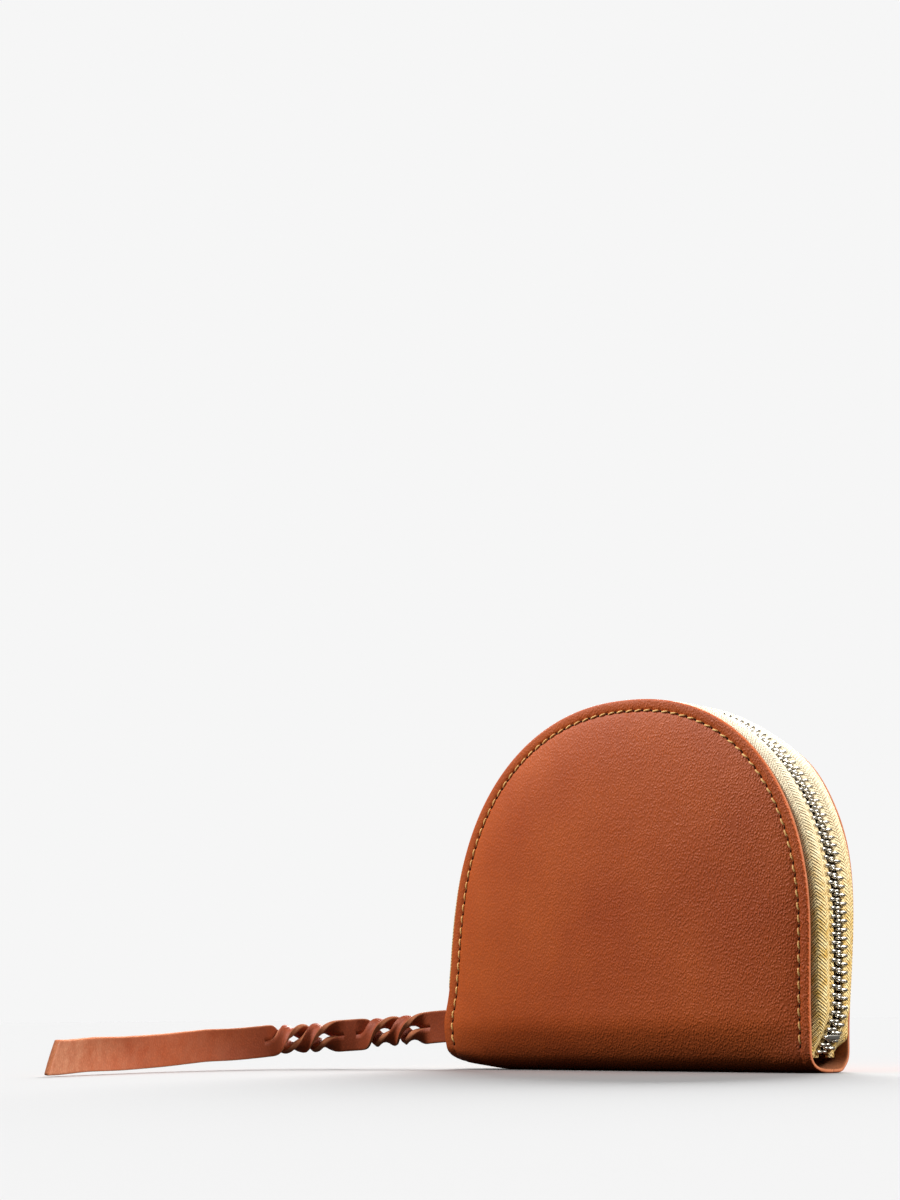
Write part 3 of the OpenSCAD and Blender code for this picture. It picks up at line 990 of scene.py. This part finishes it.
TOOTH = np.array([  # across the chain, half height, half thickness, lift
    (-3.10, 0.50, 0.25, 0), (-3.00, 0.92, 0.38, 0), (-2.70, 1.12, 0.44, 0), (-1.75, 1.16, 0.46, 0),
    (-1.30, 1.02, 0.40, 0), (-0.95, 0.80, 0.30, 0), (-0.60, 0.80, 0.32, 0.02), (-0.25, 0.92, 0.40, 0.04),
    (0.25, 0.96, 0.42, 0.04), (0.62, 0.84, 0.34, 0.02), (0.84, 0.45, 0.18, 0),
])


LOWEST_TOOTH = 7.5  # on the slider's side of the pouch


def tooth_ring(across, height, thick, lift):
    c = 0.30
    return [(across, height * a + lift, thick * b) for a, b in
            ((1, 1 - 2 * c), (1 - c, 1), (-1 + c, 1), (-1, 1 - 2 * c),
             (-1, -1 + 2 * c), (-1 + c, -1), (1 - c, -1), (1, -1 + 2 * c))]


def build_teeth():
    zipline = ZipLine(4.6, 0.5)
    heights = zipline.line[:, 1]
    chain = zipline.path(stand_out(heights, zipline.line[:, 0]) - 1.28 - 0.3 * valley(heights))
    count = int(lengths(chain)[-1] / TOOTH_PITCH)
    across, high, thick = np.array([tooth_ring(*row) for row in TOOTH]).reshape(-1, 3).T
    faces = loft_faces(len(TOOTH), 8)
    for side, word, place in SIDES:
        parts = Parts()
        for k in range(count):
            at = (k + (0.25 if side > 0 else 0.75)) * TOOTH_PITCH
            before, (x, z), after = at_length(chain, [at - 0.3, at, at + 0.3])
            if x < 0 and z < LOWEST_TOOTH:
                continue
            a, b = unit(after - before)
            tip = 0.04 * math.sin(k * 12.9898 + side) - 0.04 * side
            along = thick + tip * (across + 3)
            points = [x + b * high + a * along, across, z - a * high + b * along]
            parts.add(np.stack(points, 1), faces)
        obj = parts.object(word + "_zip_teeth", [tooth_metal], lambda p: on_side(p, side))
        ends = ["left_end_teeth", "right_end_teeth"] if side > 0 else []
        place(obj, word + "_teeth", *ends, slot="teeth")


build_tape()
build_teeth()


# -------- stops, slider and pull tab
SLIDER_A = math.radians(193.2)
STOP_A = math.radians(199.4)


def chain_matrix(angle):
    """Frame at an angle of the slider's arc: x out of the pouch, y across the chain, z along it."""
    c, s = math.cos(angle), math.sin(angle)
    turn = Matrix(((c, 0, -s), (0, 1, 0), (s, 0, c))).to_4x4()
    return Matrix.Translation((0, 0, CHAIN_Z)) @ turn @ Matrix.Translation((CHAIN_R, 0, 0))


def band(bm, one, other):
    """Faces between two loops of vertices."""
    n = len(one)
    for i in range(n):
        bm.faces.new([one[i], one[(i + 1) % n], other[(i + 1) % n], other[i]])


def prism(bm, outline, low, high):
    """A plan in (y, z) between two heights x."""
    rings = [[bm.verts.new((x, a, b)) for a, b in outline] for x in (low, high)]
    band(bm, *rings)
    bm.faces.new(rings[0][::-1])
    bm.faces.new(rings[1])


def rounded(outline, radius, steps=5):
    """An outline with its corners rounded."""
    p = [Vector(v) for v in outline]
    out = []
    for i, here in enumerate(p):
        before, after = p[i - 1] - here, p[(i + 1) % len(p)] - here
        r = min(radius, before.length * 0.45, after.length * 0.45)
        a, b = here + before.normalized() * r, here + after.normalized() * r
        for k in range(steps + 1):
            t = k / steps
            out.append(tuple(a * (1 - t) ** 2 + here * 2 * t * (1 - t) + b * t * t))
    return out


def rectangle(low, high, radius):
    """A rectangle between two corners, with its own corners rounded."""
    (a, b), (c, d) = low, high
    return rounded([(a, b), (c, b), (c, d), (a, d)], radius, 3)


def finish_metal(bm, name, matrix, width, body, node, segments=3):
    """Makes a metal piece of a shape in millimetres, with edges rounded by a width."""
    bmesh.ops.recalc_face_normals(bm, faces=bm.faces)
    mesh = bpy.data.meshes.new(name)
    bm.to_mesh(mesh)
    bm.free()
    mesh.materials.append(slider_metal)
    mesh.transform(Matrix.Scale(0.001, 4) @ matrix)
    obj = add_to_scene(name, mesh)
    bevel = obj.modifiers.new("bevel", "BEVEL")
    bevel.width, bevel.segments, bevel.limit_method = width / 1000, segments, "ANGLE"
    bevel.angle_limit = math.radians(35)
    bake_modifiers(obj)
    shade_smooth(obj.data)
    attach(obj, body)
    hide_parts(node)


WING = rounded([(-3.5, -4.7), (3.5, -4.7), (4.6, 0.4), (4.6, 3.4), (2.6, 4.7), (0, 4.2), (-2.6, 4.7),
                (-4.6, 3.4), (-4.6, 0.4)], 1.6)
FLANGE = [(3.45, -4.2), (4.0, -4.2), (4.55, 0.4), (4.55, 3.2), (3.45, 3.9)]
BRIDGE = [(2.55, -3.2), (3.4, -3.15), (4.3, -2.5), (4.85, -1.3), (4.9, 0), (4.85, 1.3), (4.3, 2.5),
          (3.4, 3.15), (2.55, 3.2), (2.55, 1.75), (3.3, 1.6), (3.95, 1.0), (4.2, 0), (3.95, -1.0),
          (3.3, -1.6), (2.55, -1.75)]


def slider_shell():
    """Two wings, their side walls with a gap for the tape, and the post that parts the teeth."""
    bm = bmesh.new()
    prism(bm, WING, 1.6, 2.6)
    prism(bm, WING, -2.6, -1.6)
    for sign in (-1, 1):
        plan = rounded([(a * sign, b) for a, b in FLANGE], 0.4, 3)
        prism(bm, plan, 0.65, 1.65)
        prism(bm, plan, -1.65, -0.65)
    prism(bm, rectangle((-0.45, 2.5), (0.45, 4.2), 0.4), -1.65, 1.65)
    return bm


def slider_bridge():
    """The arch that holds the pull tab's bar."""
    bm = bmesh.new()
    rings = [[bm.verts.new((x, y, z)) for x, z in BRIDGE] for y in (-1.4, 1.4)]
    band(bm, *rings)
    for ring in rings:
        for i in range(len(ring) // 2 - 1):
            bm.faces.new([ring[i], ring[i + 1], ring[-2 - i], ring[-1 - i]])
    return bm


def build_slider():
    here = chain_matrix(SLIDER_A)
    finish_metal(slider_shell(), "slider_shell", here, 0.28, "slider", "slider_body")
    finish_metal(slider_bridge(), "slider_bridge", here, 0.22, "slider", "slider_cap")
    bm = bmesh.new()
    prism(bm, rectangle((-0.65, -1.6), (0.65, 1.6), 0.3), 2.6, 2.82)
    finish_metal(bm, "slider_lock_spring", here, 0.05, "slider", "lock_spring", 2)


def circle(radius, count, middle):
    turn = np.arange(count) * 2 * math.pi / count
    return [(radius * math.cos(a) + middle[0], radius * math.sin(a) + middle[1]) for a in turn]


def tab_outline(end):
    """Outline of the pull tab, from its bar down to its rounded end."""
    right = [(1.75, -4.1), (1.75, 0.55), (2.5, 0.55), (2.5, -3.0), (2.2, -4.4), (2.2, end + 4.4),
             (2.5, end + 2.5)]
    turn = np.linspace(0, -math.pi / 2, 7)[1:]
    right += [(2.5 * math.cos(a), end + 2.5 + 2.5 * math.sin(a)) for a in turn]
    return right + [(-a, b) for a, b in right[::-1] if abs(a) > 1e-6]


def build_pull():
    """A plain tab on a bar, with a round hole near its end."""
    low, high = box_mm("pull_tab")
    pin = Vector(((low[0] + high[0]) / 2, 0, high[2] - 0.55))
    end = low[2] - pin.z
    hole, hole_r, thick = Vector((0, end + 2.6)), 1.1, 0.9
    outline, ring = tab_outline(end), circle(hole_r, 20, hole)
    n, m = len(outline), len(ring)
    edges = [list(range(n)), list(range(n, n + m))[::-1]]
    made = delaunay_2d_cdt([Vector(v) for v in outline + ring], [], edges, 3, 1e-6)
    bm = bmesh.new()
    sheet = [bm.verts.new((0.0, v.x, v.y)) for v in made[0]]
    for f in made[2]:
        middle = sum((made[0][v] for v in f), Vector((0, 0))) / len(f)
        if (middle - hole).length > hole_r - 0.05:
            bm.faces.new([sheet[v] for v in f])
    bmesh.ops.dissolve_limit(bm, angle_limit=0.01, verts=bm.verts, edges=bm.edges)
    got = bmesh.ops.extrude_face_region(bm, geom=bm.faces[:])
    moved = [v for v in got["geom"] if isinstance(v, bmesh.types.BMVert)]
    bmesh.ops.translate(bm, vec=(thick, 0, 0), verts=moved)
    bmesh.ops.translate(bm, vec=(-thick / 2, 0, 0), verts=bm.verts)
    bar = [[bm.verts.new((x, y, z)) for x, z in circle(0.5, 12, (0, 0))] for y in (-1.9, 1.9)]
    band(bm, *bar)
    bm.faces.new(bar[0][::-1])
    bm.faces.new(bar[1])
    finish_metal(bm, "zip_pull", Matrix.Translation(pin), 0.22, "puller", "pull_tab")


def build_stops():
    for name, node, angle, spans in (
            ("closing_stops", "top_stops", STOP_A, ((-2.9, -0.65), (0.65, 2.9))),
            ("opening_stop", "bottom_stop", math.pi - STOP_A, ((-2.6, 2.6),))):
        bm = bmesh.new()
        for a, b in spans:
            prism(bm, rectangle((a, -0.6), (b, 0.6), 0.35), -1.4, 0.7)
        finish_metal(bm, name, chain_matrix(angle), 0.22, "back_half", node)


build_slider()
build_pull()
build_stops()


# -------- stage and light
def build_stage():
    s = Shader("pale_floor")
    speck = s.noise(s.place(), 8, 2)
    seen = s.node("LightPath").outputs["Is Camera Ray"]
    pale = s.mix(speck, (0.80, 0.80, 0.80, 1), (0.803, 0.803, 0.803, 1))
    s.set(Base_Color=s.mix(seen, (0.07, 0.07, 0.07, 1), pale), Roughness=1.0)
    s.body.inputs["Specular IOR Level"].default_value = 0.0
    reach = 9000
    corners = [(-reach, -reach, 0), (reach, -reach, 0), (reach, reach, 0), (-reach, reach, 0)]
    floor = make_object("floor", corners, [[0, 1, 2, 3]], [s.material])
    return floor


def aim(light, place, target):
    """Puts a light somewhere, and turns it to a point."""
    light.location = place
    light.rotation_mode = "QUATERNION"
    light.rotation_quaternion = (Vector(target) - Vector(place)).to_track_quat("-Z", "Y")
    return light


def sun(name, towards, strength, spread):
    data = bpy.data.lights.new(name, "SUN")
    data.energy, data.angle = strength, math.radians(spread)
    return aim(add_to_scene(name, data), towards, (0, 0, 0))


def area_light(name, place, target, size, power):
    data = bpy.data.lights.new(name, "AREA")
    data.shape, data.size, data.energy = "DISK", size, power
    return aim(add_to_scene(name, data), place, target)


def spare(light, obj):
    """Keeps a light off one object."""
    group = bpy.data.collections.new(light.name + "_spares")
    group.objects.link(obj)
    light.light_linking.receiver_collection = group
    group.collection_objects[0].light_linking.link_state = "EXCLUDE"


def build_light(floor):
    world = bpy.data.worlds.new("studio")
    world.use_nodes = True
    nodes, links = world.node_tree.nodes, world.node_tree.links
    room = nodes["Background"]
    room.inputs["Color"].default_value = (1, 1, 1, 1)
    room.inputs["Strength"].default_value = 0.26
    paper = nodes.new("ShaderNodeBackground")
    paper.inputs["Color"].default_value = (0.922, 0.922, 0.922, 1)
    seen = nodes.new("ShaderNodeLightPath").outputs["Is Camera Ray"]
    both = nodes.new("ShaderNodeMixShader")
    links.new(seen, both.inputs[0])
    links.new(room.outputs[0], both.inputs[1])
    links.new(paper.outputs[0], both.inputs[2])
    links.new(both.outputs[0], nodes["World Output"].inputs["Surface"])
    scene = bpy.context.scene
    scene.world = world
    scene.view_settings.view_transform = "Standard"
    sun("back", (-0.50, 0.72, 0.42), 4.9, 34)
    sun("top", (0.1, -0.1, 1.0), 0.65, 60)
    spare(sun("key", (0.80, 0.26, 0.55), 5.6, 26), floor)
    spare(area_light("fill", (-0.25, -0.25, 0.37), (0, 0, 0.06), 0.2, 2.5), floor)


build_light(build_stage())
